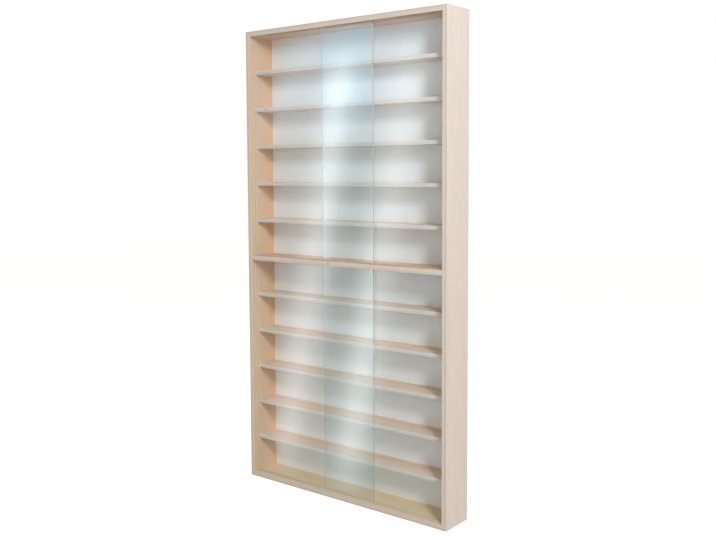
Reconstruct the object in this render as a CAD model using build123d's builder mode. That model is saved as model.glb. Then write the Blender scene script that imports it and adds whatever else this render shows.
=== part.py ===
from build123d import *
import os

os.makedirs("parts", exist_ok=True)

# A shallow wall case of birch plywood with twelve compartments and a white back.
# Two pairs of glass panes slide in grooves, one pair above the middle board and one below it.
# All sizes are in millimetres. X runs to the right, Y into the wall and Z up.
# The origin is on the wall, midway between the two hangers, at their keyhole entries.

# Overall size of the wooden case
case_width = 580
case_height = 1100
case_depth = 85

# Thickness of each sheet
frame_thickness = 12
middle_thickness = 12
shelf_thickness = 9
back_thickness = 2.5
pane_thickness = 3
hanger_thickness = 1.5

# Shelves and their housings in the side boards
shelves_per_half = 5
shelf_gap = 1.0  # from the rear track to the shelves' front edges
housing_depth = 4
housing_fit = 0.1  # clearance of a board in its housing, each way
shelf_nose = 8  # front stretch of a shelf's end, which hides the housing's round end
middle_nose = 28  # the same on the middle board, where it clears the tracks too
edge_round = 0.8  # eased edges of the plywood

# Back panel, its rebate and its brads
rebate_width = 5
rebate_depth = 5
back_fit = 0.3  # from the panel's edge to the rebate's wall
brad_radius = 0.7
brad_length = 14
brad_point = 2
brad_head_radius = 1.3
brad_head_thickness = 0.5
brad_fit = 0.03
brads_across = 5

# Tracks for the panes
track_setback = 12  # from the case's front to the front track
track_side_fit = 0.2  # clearance on each face of a pane
track_land = 1.6  # wood left between the two tracks
lower_track_depth = 2.5
upper_track_depth = 5.5
pane_reach = 2.7  # how far a pane stands in its upper track
pane_foot_fit = 0.2  # from a pane's foot to the floor of its lower track
pane_end_fit = 0.3  # from a closed pane to the side board
pane_arris = 0.4  # ground edges of the glass
left_pane_width = 366.7
right_pane_width = 338.7

# Biscuits in the mitred corners
biscuit_thickness = 3.8
biscuit_length = 47
biscuit_width = 15
biscuit_fit = 0.1  # on each face of a biscuit
biscuit_inset = 4  # from the inner corner to the biscuit's middle, along the mitre
biscuit_behind_front = 50  # from the case's front to the biscuit's middle
cutter_radius = 50
cutter_depth = 8

# Wall hangers, their screws, and the felt pads that keep the case upright on the wall
hanger_inset = 90  # from the case's sides to the middle of a hanger
keyhole_below_top = 26
keyhole_radius = 4
keyhole_slot = 4.4
keyhole_travel = 9  # from the entry's centre up to where the wall screw hangs
hanger_base_width = 46
hanger_lobe_width = 18
hanger_round = 2
hanger_screw_spacing = 34
screw_radius = 1.5
screw_head_radius = 2.8
screw_length = 16
screw_point = 4
screw_fit = 0.05
pad_radius = 4
pad_inset = 4.2  # from the case's outer faces to a pad's centre

# Planes and levels that follow from the sizes
half_width = case_width / 2
inner_half = half_width - frame_thickness
case_rear = -hanger_thickness
case_front = case_rear - case_depth
case_middle = (case_front + case_rear) / 2
case_top = keyhole_below_top
case_bottom = case_top - case_height
inner_top = case_top - frame_thickness
inner_bottom = case_bottom + frame_thickness
back_face = case_rear - rebate_depth
land_width = frame_thickness - rebate_width

# Levels of the compartments, the middle board and the shelves
half_wood = shelves_per_half * shelf_thickness
half_clear = (inner_top - inner_bottom - middle_thickness) / 2 - half_wood
clear_height = half_clear / (shelves_per_half + 1)
shelf_pitch = clear_height + shelf_thickness
middle_underside = inner_bottom + shelves_per_half * shelf_pitch + clear_height
middle_top = middle_underside + middle_thickness
compartment_floors = [
    floor + step * shelf_pitch
    for floor in (inner_bottom, middle_top)
    for step in range(shelves_per_half + 1)
]
shelf_undersides = [
    floor + clear_height
    for place, floor in enumerate(compartment_floors, 1)
    if place % (shelves_per_half + 1)
]

# The two tracks, and the shelves' front edges behind them
track_width = pane_thickness + 2 * track_side_fit
front_track = case_front + track_setback + track_width / 2
rear_track = front_track + track_width + track_land
shelf_front = rear_track + track_width / 2 + shelf_gap

# Mitre planes at the corners, each facing its top or bottom board
mitres = {
    (side, end): Plane(
        origin=(side * half_width, 0, case_top if end > 0 else case_bottom),
        z_dir=(-side, 0, end),
    )
    for side in (-1, 1)
    for end in (-1, 1)
}


def biscuit_plane(side, end, across):
    """The plane through the middle of a corner's biscuit, moved across the mitre."""
    inner_corner = Vector(
        side * inner_half,
        case_front + biscuit_behind_front,
        inner_top if end > 0 else inner_bottom,
    )
    outward = Vector(side, 0, end).normalized()
    through = Vector(-side, 0, end).normalized()
    return Plane(
        origin=inner_corner + outward * biscuit_inset + through * across,
        x_dir=through,
        z_dir=outward,
    )


# Sketch planes seen from behind, where local X is the case's -X and local Y is its Z
rear_plane = Plane(origin=(0, case_rear, 0), x_dir=(-1, 0, 0), z_dir=(0, 1, 0))
panel_plane = rear_plane.offset(back_thickness - rebate_depth)
wall_plane = rear_plane.offset(hanger_thickness)

# Brads in the back panel's rim and in the middle board, as points of those planes
brad_x = inner_half + rebate_width / 2
brad_row = [(step + 0.5) * 2 * brad_x / brads_across - brad_x for step in range(brads_across)]
left_brads = [(brad_x, floor + clear_height / 2) for floor in compartment_floors]
right_brads = [(-x, z) for x, z in left_brads]
top_brads = [(x, inner_top + rebate_width / 2) for x in brad_row]
bottom_brads = [(x, inner_bottom - rebate_width / 2) for x in brad_row]
middle_brads = [(x, middle_underside + middle_thickness / 2) for x in brad_row]

# Hangers, and their screws in the rear edge of the top board
screw_level = case_top - land_width / 2
hanger_x = {"left": half_width - hanger_inset, "right": hanger_inset - half_width}
screw_points = {
    name: [(x - hanger_screw_spacing / 2, screw_level), (x + hanger_screw_spacing / 2, screw_level)]
    for name, x in hanger_x.items()
}
all_screw_points = screw_points["left"] + screw_points["right"]

# Left side board: a rebated strip, mitred at both ends, with a stopped housing for each board
inner_plane = Plane(origin=(-inner_half, 0, 0), x_dir=(0, 1, 0), z_dir=(1, 0, 0))
housings = [(z, shelf_thickness, shelf_front + shelf_nose) for z in shelf_undersides]
housings.append((middle_underside, middle_thickness, case_front + middle_nose))
with BuildPart() as left_side_board:
    with BuildSketch(Plane.XY.offset(case_bottom)):
        with Locations((-half_width + frame_thickness / 2, case_middle)):
            Rectangle(frame_thickness, case_depth)
        fillet(vertices().group_by(Axis.Y)[0], radius=edge_round)
        with Locations((-inner_half - rebate_width / 2, case_rear - rebate_depth / 2)):
            Rectangle(rebate_width, rebate_depth, mode=Mode.SUBTRACT)
    extrude(amount=case_height)
    for end in (-1, 1):
        split(bisect_by=mitres[-1, end], keep=Keep.BOTTOM)
    for underside, thickness, tongue_front in housings:
        housing_height = thickness + housing_fit
        housing_start = tongue_front - housing_fit
        with BuildSketch(inner_plane):
            with Locations((0, underside + housing_height / 2)):
                with Locations(((housing_start + back_face) / 2, 0)):
                    Rectangle(back_face - housing_start, housing_height)
                with Locations((housing_start, 0)):
                    Circle(housing_height / 2)
        extrude(amount=-housing_depth, mode=Mode.SUBTRACT)
    for end in (-1, 1):
        with BuildSketch(biscuit_plane(-1, end, cutter_radius - cutter_depth)):
            Circle(cutter_radius)
        extrude(amount=biscuit_thickness / 2 + biscuit_fit, both=True, mode=Mode.SUBTRACT)
    with Locations(panel_plane):
        with Locations(*left_brads):
            Hole(brad_radius + brad_fit, depth=brad_length + brad_fit)
left_side_board.part.label = "left_side_board"

with BuildPart() as right_side_board:
    mirror(left_side_board.part, about=Plane.YZ)
right_side_board.part.label = "right_side_board"


def make_end_board(name, end, inner_face, track_depth, brads, screws):
    """The top or bottom board: a rebated strip with two tracks, mitred at both ends."""
    with BuildPart() as board:
        with BuildSketch(Plane.YZ.offset(-half_width)):
            with Locations((case_middle, inner_face + end * frame_thickness / 2)):
                Rectangle(case_depth, frame_thickness)
            fillet(vertices().group_by(Axis.X)[0], radius=edge_round)
            with Locations((case_rear - rebate_depth / 2, inner_face + end * rebate_width / 2)):
                Rectangle(rebate_depth, rebate_width, mode=Mode.SUBTRACT)
            for track in (front_track, rear_track):
                with Locations((track, inner_face + end * track_depth / 2)):
                    Rectangle(track_width, track_depth, mode=Mode.SUBTRACT)
        extrude(amount=case_width)
        for side in (-1, 1):
            split(bisect_by=mitres[side, end], keep=Keep.TOP)
            with BuildSketch(biscuit_plane(side, end, cutter_depth - cutter_radius)):
                Circle(cutter_radius)
            extrude(amount=biscuit_thickness / 2 + biscuit_fit, both=True, mode=Mode.SUBTRACT)
        with Locations(panel_plane):
            with Locations(*brads):
                Hole(brad_radius + brad_fit, depth=brad_length + brad_fit)
        if screws:
            with Locations(rear_plane):
                with Locations(*screws):
                    Hole(screw_radius + screw_fit, depth=screw_length)
    board.part.label = name
    return board.part


top_board = make_end_board("top_board", 1, inner_top, upper_track_depth, top_brads, all_screw_points)
bottom_board = make_end_board("bottom_board", -1, inner_bottom, lower_track_depth, bottom_brads, [])


def make_housed_board(name, underside, thickness, front, nose, over, under, brads):
    """A shelf or the middle board, with a tongue at each end and, where given, tracks over and under."""
    nose_width = 2 * (inner_half - housing_fit)
    tongue_width = 2 * (inner_half + housing_depth - housing_fit)
    with BuildPart() as board:
        with BuildSketch(Plane.XY.offset(underside)):
            with Locations((0, front)):
                Rectangle(nose_width, back_face - front, align=(Align.CENTER, Align.MIN))
            with Locations((0, front + nose)):
                Rectangle(tongue_width, back_face - front - nose, align=(Align.CENTER, Align.MIN))
        extrude(amount=thickness)
        fillet(edges().filter_by(Axis.X).group_by(Axis.Y)[0], radius=edge_round)
        for level, depth in ((underside + thickness, -over), (underside, under)):
            if depth:
                with BuildSketch(Plane.XY.offset(level)):
                    with Locations((0, front_track), (0, rear_track)):
                        Rectangle(nose_width, track_width)
                extrude(amount=depth, mode=Mode.SUBTRACT)
        if brads:
            with Locations(panel_plane):
                with Locations(*brads):
                    Hole(brad_radius + brad_fit, depth=brad_length + brad_fit)
    board.part.label = name
    return board.part


middle_board = make_housed_board(
    "middle_board",
    middle_underside,
    middle_thickness,
    case_front,
    middle_nose,
    lower_track_depth,
    upper_track_depth,
    middle_brads,
)
shelves = [
    make_housed_board(f"shelf_{number:02d}", underside, shelf_thickness, shelf_front, shelf_nose, 0, 0, [])
    for number, underside in enumerate(shelf_undersides, 1)
]

# Back panel: a thin white sheet in the rebate, drilled for its brads
rim = rebate_width - back_fit
all_brads = left_brads + right_brads + top_brads + bottom_brads + middle_brads
with BuildPart() as back_panel:
    with BuildSketch(panel_plane):
        with Locations((0, (inner_top + inner_bottom) / 2)):
            Rectangle(2 * (inner_half + rim), inner_top - inner_bottom + 2 * rim)
    extrude(amount=-back_thickness)
    with Locations(panel_plane):
        with Locations(*all_brads):
            Hole(brad_radius + brad_fit, depth=back_thickness)
back_panel.part.label = "back_panel"

# Brads: a flat head on the panel's rear face, and a shank that points forwards
with BuildPart() as brad:
    with BuildSketch(Plane.XY):
        with BuildLine():
            Polyline(
                (0, brad_head_thickness),
                (brad_head_radius, brad_head_thickness),
                (brad_head_radius, 0),
                (brad_radius, 0),
                (brad_radius, brad_point - brad_length),
                (0, -brad_length),
                close=True,
            )
        make_face()
    revolve(axis=Axis.Y)
with BuildPart() as back_panel_brads:
    with Locations(*[panel_plane.from_local_coords(point) for point in all_brads]):
        add(brad.part)
back_panel_brads.part.label = "back_panel_brads"


def make_pane(name, left_edge, width, track, sill):
    """A pane standing in the lower track of its sill, with all edges ground."""
    foot = sill - lower_track_depth + pane_foot_fit
    head = sill + half_clear + half_wood + pane_reach
    with BuildPart() as pane:
        with Locations((left_edge + width / 2, track, (foot + head) / 2)):
            Box(width, pane_thickness, head - foot)
        chamfer(edges(), length=pane_arris)
    pane.part.label = name
    return pane.part


closed_left = pane_end_fit - inner_half
closed_right = inner_half - pane_end_fit - right_pane_width
panes = [
    make_pane(f"{half}_{side}_pane", left_edge, width, track, sill)
    for half, sill in (("lower", inner_bottom), ("upper", middle_top))
    for side, left_edge, width, track in (
        ("left", closed_left, left_pane_width, front_track),
        ("right", closed_right, right_pane_width, rear_track),
    )
]

# Biscuits: lens-shaped, one across each mitre
biscuit_curve = (biscuit_length**2 + biscuit_width**2) / (4 * biscuit_width)
curve_offset = biscuit_curve - biscuit_width / 2
with BuildPart() as corner_biscuits:
    for side, end in mitres:
        with BuildSketch(biscuit_plane(side, end, 0)):
            with Locations((-curve_offset, 0)):
                Circle(biscuit_curve)
            with Locations((curve_offset, 0)):
                Circle(biscuit_curve, mode=Mode.INTERSECT)
        extrude(amount=biscuit_thickness / 2, both=True)
corner_biscuits.part.label = "corner_biscuits"


def make_hanger(name, x, screws):
    """A flat steel hanger: a base on the top board's rear edge and a round lobe with a keyhole."""
    base_height = land_width
    with BuildPart() as hanger:
        with BuildSketch(rear_plane):
            with Locations((x, screw_level)):
                Rectangle(hanger_base_width, base_height)
            fillet(vertices(), radius=hanger_round)
            with Locations((x, 0)):
                Circle(hanger_lobe_width / 2)
                Rectangle(hanger_lobe_width, screw_level, align=(Align.CENTER, Align.MIN))
            inner_corners = vertices().filter_by_position(
                Axis.Y, case_top - base_height - 0.01, case_top - base_height + 0.01
            )
            fillet(inner_corners.sort_by_distance((x, 0))[:2], radius=hanger_round)
            with Locations((x, 0)):
                Circle(keyhole_radius, mode=Mode.SUBTRACT)
                Rectangle(
                    keyhole_slot, keyhole_travel, align=(Align.CENTER, Align.MIN), mode=Mode.SUBTRACT
                )
            with Locations((x, keyhole_travel)):
                Circle(keyhole_slot / 2, mode=Mode.SUBTRACT)
        extrude(amount=hanger_thickness)
        with Locations(wall_plane):
            with Locations(*screws):
                CounterSinkHole(
                    screw_radius + screw_fit,
                    screw_head_radius + screw_fit,
                    depth=hanger_thickness,
                    counter_sink_angle=90,
                )
    hanger.part.label = name
    return hanger.part


hangers = [make_hanger(f"{name}_wall_hanger", x, screw_points[name]) for name, x in hanger_x.items()]

# Countersunk wood screws through the hangers, flush with the wall
with BuildPart() as screw:
    with BuildSketch(Plane.XY):
        with BuildLine():
            Polyline(
                (0, 0),
                (screw_head_radius, 0),
                (screw_radius, screw_radius - screw_head_radius),
                (screw_radius, screw_point - screw_length),
                (0, -screw_length),
                close=True,
            )
        make_face()
    revolve(axis=Axis.Y)
with BuildPart() as hanger_screws:
    with Locations(*[wall_plane.from_local_coords(point) for point in all_screw_points]):
        add(screw.part)
hanger_screws.part.label = "hanger_screws"

# Felt pads at the lower rear corners, as thick as the hangers
with BuildPart() as wall_pads:
    with BuildSketch(rear_plane):
        with Locations(
            (half_width - pad_inset, case_bottom + pad_inset),
            (pad_inset - half_width, case_bottom + pad_inset),
        ):
            Circle(pad_radius)
    extrude(amount=hanger_thickness)
wall_pads.part.label = "wall_pads"

pieces = [
    left_side_board.part,
    right_side_board.part,
    top_board,
    bottom_board,
    middle_board,
    *shelves,
    back_panel.part,
    back_panel_brads.part,
    *panes,
    corner_biscuits.part,
    *hangers,
    hanger_screws.part,
    wall_pads.part,
]
for piece in pieces:
    export_step(piece, f"parts/{piece.label}.step")
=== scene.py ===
"""Studio finish for a shallow wall display case of birch plywood with sliding glass.

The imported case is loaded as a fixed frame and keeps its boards, panel, glass and hangers.
Each of them gets a procedural finish here. The screws, brads and felt pads are modelled again
in finer detail, and a plain studio is set up round the case with the camera at the
photograph's angle. All lengths are in metres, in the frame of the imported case: X runs to the
right, Y into the wall and Z up, with the origin on the wall between the two hangers.
"""

from __future__ import annotations

import logging
import math
from dataclasses import dataclass, field
from enum import Enum

import bpy
from mathutils import Matrix, Vector

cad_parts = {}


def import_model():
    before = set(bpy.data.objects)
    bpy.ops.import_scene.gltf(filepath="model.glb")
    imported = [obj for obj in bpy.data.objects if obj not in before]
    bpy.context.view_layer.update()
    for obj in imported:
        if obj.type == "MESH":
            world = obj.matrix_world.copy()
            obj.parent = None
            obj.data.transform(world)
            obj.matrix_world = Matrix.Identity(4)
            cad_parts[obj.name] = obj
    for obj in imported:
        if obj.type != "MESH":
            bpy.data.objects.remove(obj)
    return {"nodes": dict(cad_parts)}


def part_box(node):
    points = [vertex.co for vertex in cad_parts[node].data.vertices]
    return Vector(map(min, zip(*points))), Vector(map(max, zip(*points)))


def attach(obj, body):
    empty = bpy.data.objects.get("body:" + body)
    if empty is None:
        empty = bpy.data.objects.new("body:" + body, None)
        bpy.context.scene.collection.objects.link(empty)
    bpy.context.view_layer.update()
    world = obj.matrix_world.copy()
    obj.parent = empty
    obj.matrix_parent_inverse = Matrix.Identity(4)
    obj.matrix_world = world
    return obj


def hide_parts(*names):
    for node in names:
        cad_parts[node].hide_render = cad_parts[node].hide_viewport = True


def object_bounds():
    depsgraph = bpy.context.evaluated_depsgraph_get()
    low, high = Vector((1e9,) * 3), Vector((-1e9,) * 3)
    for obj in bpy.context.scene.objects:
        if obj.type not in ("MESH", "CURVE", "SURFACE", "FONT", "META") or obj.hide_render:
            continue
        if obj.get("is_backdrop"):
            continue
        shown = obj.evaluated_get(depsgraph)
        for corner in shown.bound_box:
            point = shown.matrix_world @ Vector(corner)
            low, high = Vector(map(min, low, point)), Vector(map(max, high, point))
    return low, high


log = logging.getLogger("display_case")

Color = tuple[float, float, float]
Span = tuple[float, float]
Triple = tuple[float, float, float]
Socket = bpy.types.NodeSocket
Source = Socket | float | tuple

VECTOR = "NodeSocketVector"
VALUE = "NodeSocketFloat"
WHITE: Color = (1.0, 1.0, 1.0)
SMOOTH_ANGLE = math.radians(35)


class Layout(Enum):
    """How a sheet lies in the case: where its length runs and where its outer face looks."""

    LEFT_SIDE = "left"
    RIGHT_SIDE = "right"
    TOP_FACE_OUT = "top"
    UNDERSIDE_OUT = "underside"


class Rays(Enum):
    """Kinds of light ray that a studio surface can single out, as Light Path names them."""

    CAMERA = "Is Camera Ray"
    GLOSSY = "Is Glossy Ray"
    TRANSMISSION = "Is Transmission Ray"
    SHADOW = "Is Shadow Ray"
    DIFFUSE = "Is Diffuse Ray"


@dataclass(frozen=True)
class Stain:
    """A colour laid over another one, and how much of it shows where its mask is full."""

    color: Color
    strength: float


@dataclass(frozen=True)
class Relief:
    """How far in metres a pattern stands out, and how much of that shows."""

    height: float
    strength: float


class Graph:
    """A node tree with short calls that add nodes and link them."""

    # Places of the colour sockets among all the sockets of a Mix node.
    mix_first = 6
    mix_second = 7
    mix_result = 2

    def __init__(self, tree: bpy.types.NodeTree) -> None:
        """Wraps a node tree."""
        self.tree = tree

    def feed(self, target: Socket, source: Source) -> None:
        """Links an output to an input, or sets the input's own value.

        Args:
            target: The input.
            source: An output to link, a number, a vector, or a colour of three values.
        """
        if isinstance(source, bpy.types.NodeSocket):
            self.tree.links.new(source, target)
        elif target.type == "RGBA" and len(source) == 3:
            target.default_value = (*source, 1.0)
        else:
            target.default_value = source

    def node(
        self, kind: str, inputs: dict[str | int, Source] | None = None, **settings: object
    ) -> bpy.types.Node:
        """Adds a node.

        Args:
            kind: The node's type without the leading ShaderNode.
            inputs: What feeds each input, by its name or place.
            settings: The node's own settings.

        Returns:
            The new node.
        """
        made = self.tree.nodes.new("ShaderNode" + kind)
        for name, value in settings.items():
            setattr(made, name, value)
        self.fill(made, inputs or {})
        return made

    def fill(self, node: bpy.types.Node, inputs: dict[str | int, Source]) -> None:
        """Feeds several inputs of a node, each by its name or place."""
        for name, source in inputs.items():
            self.feed(node.inputs[name], source)

    def math(self, operation: str, *sources: Socket | float) -> Socket:
        """Adds a Math node and returns its output."""
        return self.node("Math", dict(enumerate(sources)), operation=operation).outputs[0]

    def invert(self, mask: Socket) -> Socket:
        """Turns a mask round, so that 1 becomes 0."""
        return self.math("SUBTRACT", 1.0, mask)

    def part(self, vector: Socket, axis: str) -> Socket:
        """Takes one part of a vector: X, Y or Z."""
        return self.node("SeparateXYZ", {0: vector}).outputs[axis]

    def blend(
        self, factor: Socket | float, first: Socket | Color, second: Socket | Color
    ) -> Socket:
        """Mixes two colours.

        Args:
            factor: How much of the second colour there is, from 0 to 1.
            first: The colour at 0.
            second: The colour at 1.

        Returns:
            The mixed colour.
        """
        mix = self.node("Mix", data_type="RGBA")
        self.feed(mix.inputs[0], factor)
        self.feed(mix.inputs[self.mix_first], first)
        self.feed(mix.inputs[self.mix_second], second)
        return mix.outputs[self.mix_result]

    def stain(self, mask: Socket, under: Socket | Color, stain: Stain) -> Socket:
        """Lays a stain over a colour where its mask is set."""
        return self.blend(self.math("MULTIPLY", mask, stain.strength), under, stain.color)

    def ramp(self, value: Socket, low: float, high: float) -> Socket:
        """Rises smoothly from 0 to 1 as a value goes from low to high."""
        inputs = {"Value": value, "From Min": low, "From Max": high}
        return self.node("MapRange", inputs, interpolation_type="SMOOTHSTEP").outputs["Result"]

    def noise(self, position: Socket, scale: Triple, detail: float) -> Socket:
        """Adds a noise pattern, scaled along each axis, and returns its value."""
        inputs = {"Vector": self.stretch(position, scale), "Scale": 1.0, "Detail": detail}
        return self.node("TexNoise", inputs).outputs[0]

    def stretch(self, position: Socket, scale: Triple) -> Socket:
        """Scales a position along each axis."""
        inputs = {0: position, 1: scale}
        return self.node("VectorMath", inputs, operation="MULTIPLY").outputs[0]

    def bump(self, pattern: Socket, relief: Relief) -> Socket:
        """Turns a height pattern from 0 to 1 into a normal."""
        inputs = {"Height": pattern, "Distance": relief.height, "Strength": relief.strength}
        return self.node("Bump", inputs).outputs[0]

    def rays(self, *kinds: Rays) -> Socket:
        """Is 1 for the named kinds of ray and 0 for all others."""
        path = self.node("LightPath")
        chosen = path.outputs[kinds[0].value]
        for kind in kinds[1:]:
            chosen = self.math("MAXIMUM", chosen, path.outputs[kind.value])
        return chosen

    def surface(self, shader: Socket) -> None:
        """Makes a shader the surface of the material, in place of any earlier one."""
        output = self.tree.nodes.get("Material Output") or self.node("OutputMaterial")
        self.feed(output.inputs["Surface"], shader)


def blank_material(name: str) -> tuple[bpy.types.Material, Graph]:
    """Makes a material without nodes.

    Args:
        name: The material's name.

    Returns:
        The material and its node tree.
    """
    material = bpy.data.materials.new(name)
    material.use_nodes = True
    material.node_tree.nodes.clear()
    return material, Graph(material.node_tree)


class Effect:
    """A shader node group that several finishes share."""

    built: dict[str, bpy.types.NodeTree] = {}

    name = "effect"
    inputs: dict[str, str] = {}
    outputs: dict[str, str] = {}

    def build(self, graph: Graph, given: dict[str, Socket], result: dict[str, Socket]) -> None:
        """Fills the group. Each effect has its own version."""
        raise NotImplementedError

    def tree(self) -> bpy.types.NodeTree:
        """Gives the group's tree, which is made at the first call."""
        if self.name not in Effect.built:
            tree = bpy.data.node_groups.new(self.name, "ShaderNodeTree")
            for name, kind in self.inputs.items():
                tree.interface.new_socket(name, in_out="INPUT", socket_type=kind)
            for name, kind in self.outputs.items():
                tree.interface.new_socket(name, in_out="OUTPUT", socket_type=kind)
            start = tree.nodes.new("NodeGroupInput")
            end = tree.nodes.new("NodeGroupOutput")
            given = {socket.name: socket for socket in start.outputs if socket.name}
            result = {socket.name: socket for socket in end.inputs if socket.name}
            self.build(Graph(tree), given, result)
            Effect.built[self.name] = tree
        return Effect.built[self.name]

    def place(self, graph: Graph, **sources: Source) -> dict[str, Socket]:
        """Places the group in a material.

        Args:
            graph: The material's nodes.
            sources: What feeds each input. Underscores stand for spaces in its name.

        Returns:
            The group's outputs by name.
        """
        node = graph.tree.nodes.new("ShaderNodeGroup")
        node.node_tree = self.tree()
        for name, source in sources.items():
            graph.feed(node.inputs[name.replace("_", " ").capitalize()], source)
        return {socket.name: socket for socket in node.outputs}


class VeneerFigure(Effect):
    """The soft figure, pores and pin knots of a peeled veneer whose grain runs along X."""

    name = "veneer figure"
    inputs = {"Position": VECTOR, "Figure size": VALUE}
    outputs = {"Figure": VALUE, "Streaks": VALUE, "Pores": VALUE, "Knots": VALUE}
    bend_scale = (2.2, 9.0, 9.0)
    bend_reach = (0.05, 0.05, 0.05)
    broad_scale = (3.0, 30.0, 30.0)
    broad_span = (0.3, 0.75)
    ring_count = 7.0
    ring_span = (0.1, 0.95)
    ring_share = 0.45
    streak_scale = (14.0, 420.0, 420.0)
    streak_span = (0.35, 0.7)
    pore_scale = (160.0, 2600.0, 2600.0)
    pore_span = (0.66, 0.76)
    knot_scale = (11.0, 17.0, 17.0)
    knot_chance = (0.83, 0.86)
    knot_reach = (0.012, 0.05)

    def build(self, graph: Graph, given: dict[str, Socket], result: dict[str, Socket]) -> None:
        """Fills the group."""
        sized = {0: given["Position"], "Scale": given["Figure size"]}
        place = graph.node("VectorMath", sized, operation="SCALE").outputs[0]
        wavy = {"Vector": graph.stretch(place, self.bend_scale), "Scale": 1.0, "Detail": 2.0}
        bend = graph.node("TexNoise", wavy).outputs["Color"]
        bent = graph.node(
            "VectorMath", {0: bend, 1: self.bend_reach, 2: place}, operation="MULTIPLY_ADD"
        )
        broad = graph.noise(bent.outputs[0], self.broad_scale, detail=4.0)
        rings = graph.math("PINGPONG", graph.math("MULTIPLY", broad, self.ring_count), 1.0)
        rings = graph.ramp(rings, *self.ring_span)
        clouds = graph.ramp(broad, *self.broad_span)
        graph.feed(result["Figure"], graph.math("MULTIPLY_ADD", rings, self.ring_share, clouds))
        streaks = graph.noise(place, self.streak_scale, detail=3.0)
        graph.feed(result["Streaks"], graph.ramp(streaks, *self.streak_span))
        pores = graph.noise(place, self.pore_scale, detail=1.0)
        graph.feed(result["Pores"], graph.ramp(pores, *self.pore_span))
        cell = {"Vector": graph.stretch(place, self.knot_scale), "Scale": 1.0}
        cells = graph.node("TexVoronoi", cell)
        chance = graph.node("SeparateColor", {0: cells.outputs["Color"]}).outputs[0]
        dot = graph.invert(graph.ramp(cells.outputs["Distance"], *self.knot_reach))
        knots = graph.math("MULTIPLY", graph.ramp(chance, *self.knot_chance), dot)
        graph.feed(result["Knots"], knots)


class PlyLayers(Effect):
    """The layers that a plywood sheet's edge shows, counted from its outer face."""

    name = "ply layers"
    inputs = {"Position": VECTOR, "Depth": VALUE, "Layer": VALUE}
    outputs = {"Cross layer": VALUE, "Tone": VALUE, "Glue line": VALUE, "End grain": VALUE}
    wander_scale = (9.0, 9.0, 9.0)
    wander = 0.24
    # An even number of layers, added so that none is counted below zero.
    spare_layers = 20.0
    tone_row = 0.37
    glue_span = (0.4, 0.5)
    fibre_scale = (1900.0, 1900.0, 1900.0)
    fibre_span = (0.45, 0.7)

    def build(self, graph: Graph, given: dict[str, Socket], result: dict[str, Socket]) -> None:
        """Fills the group."""
        wave = graph.noise(given["Position"], self.wander_scale, detail=2.0)
        shift = graph.math("MULTIPLY_ADD", wave, self.wander, -self.wander / 2)
        count = graph.math("ADD", graph.math("DIVIDE", given["Depth"], given["Layer"]), shift)
        index = graph.math("FLOOR", count)
        cross = graph.math("MODULO", graph.math("ADD", index, self.spare_layers), 2.0)
        graph.feed(result["Cross layer"], cross)
        seed = graph.node("CombineXYZ", {"X": index, "Y": self.tone_row}).outputs[0]
        tone = graph.node("TexWhiteNoise", {"Vector": seed}, noise_dimensions="3D")
        graph.feed(result["Tone"], tone.outputs["Value"])
        from_middle = graph.math("SUBTRACT", graph.math("FRACT", count), 0.5)
        glue = graph.ramp(graph.math("ABSOLUTE", from_middle), *self.glue_span)
        graph.feed(result["Glue line"], glue)
        fibres = graph.noise(given["Position"], self.fibre_scale, detail=1.0)
        fibres = graph.ramp(fibres, *self.fibre_span)
        graph.feed(result["End grain"], graph.math("MULTIPLY", cross, fibres))


class Mottle(Effect):
    """Faint broad and fine unevenness, as handling and rolling leave on any smooth surface."""

    name = "surface mottle"
    inputs = {"Position": VECTOR, "Broad": VALUE, "Fine": VALUE}
    outputs = {"Cloud": VALUE, "Speck": VALUE}
    cloud_span = (0.3, 0.7)
    speck_span = (0.35, 0.65)

    def build(self, graph: Graph, given: dict[str, Socket], result: dict[str, Socket]) -> None:
        """Fills the group."""
        for scale, detail, output, span in (
            ("Broad", 3.0, "Cloud", self.cloud_span),
            ("Fine", 2.0, "Speck", self.speck_span),
        ):
            inputs = {"Vector": given["Position"], "Scale": given[scale], "Detail": detail}
            pattern = graph.node("TexNoise", inputs).outputs[0]
            graph.feed(result[output], graph.ramp(pattern, *span))


class Finish:
    """What every finish shares: a new material with its Principled shader."""

    def begin(self, name: str) -> tuple[bpy.types.Material, Graph, bpy.types.Node, bpy.types.Node]:
        """Makes an empty material.

        Args:
            name: The material's name.

        Returns:
            The material, its nodes, its Principled shader and its texture coordinates.
        """
        material, graph = blank_material(name)
        shader = graph.node("BsdfPrincipled")
        graph.surface(shader.outputs[0])
        return material, graph, shader, graph.node("TexCoord")


class MottledFinish(Finish):
    """A finish that shows the mottle, with clouds and specks of its own two sizes."""

    cloud_scale: float
    speck_scale: float

    def mottle(self, graph: Graph, position: Socket) -> dict[str, Socket]:
        """Places the mottle."""
        sizes = {"broad": self.cloud_scale, "fine": self.speck_scale}
        return Mottle().place(graph, position=position, **sizes)


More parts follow.
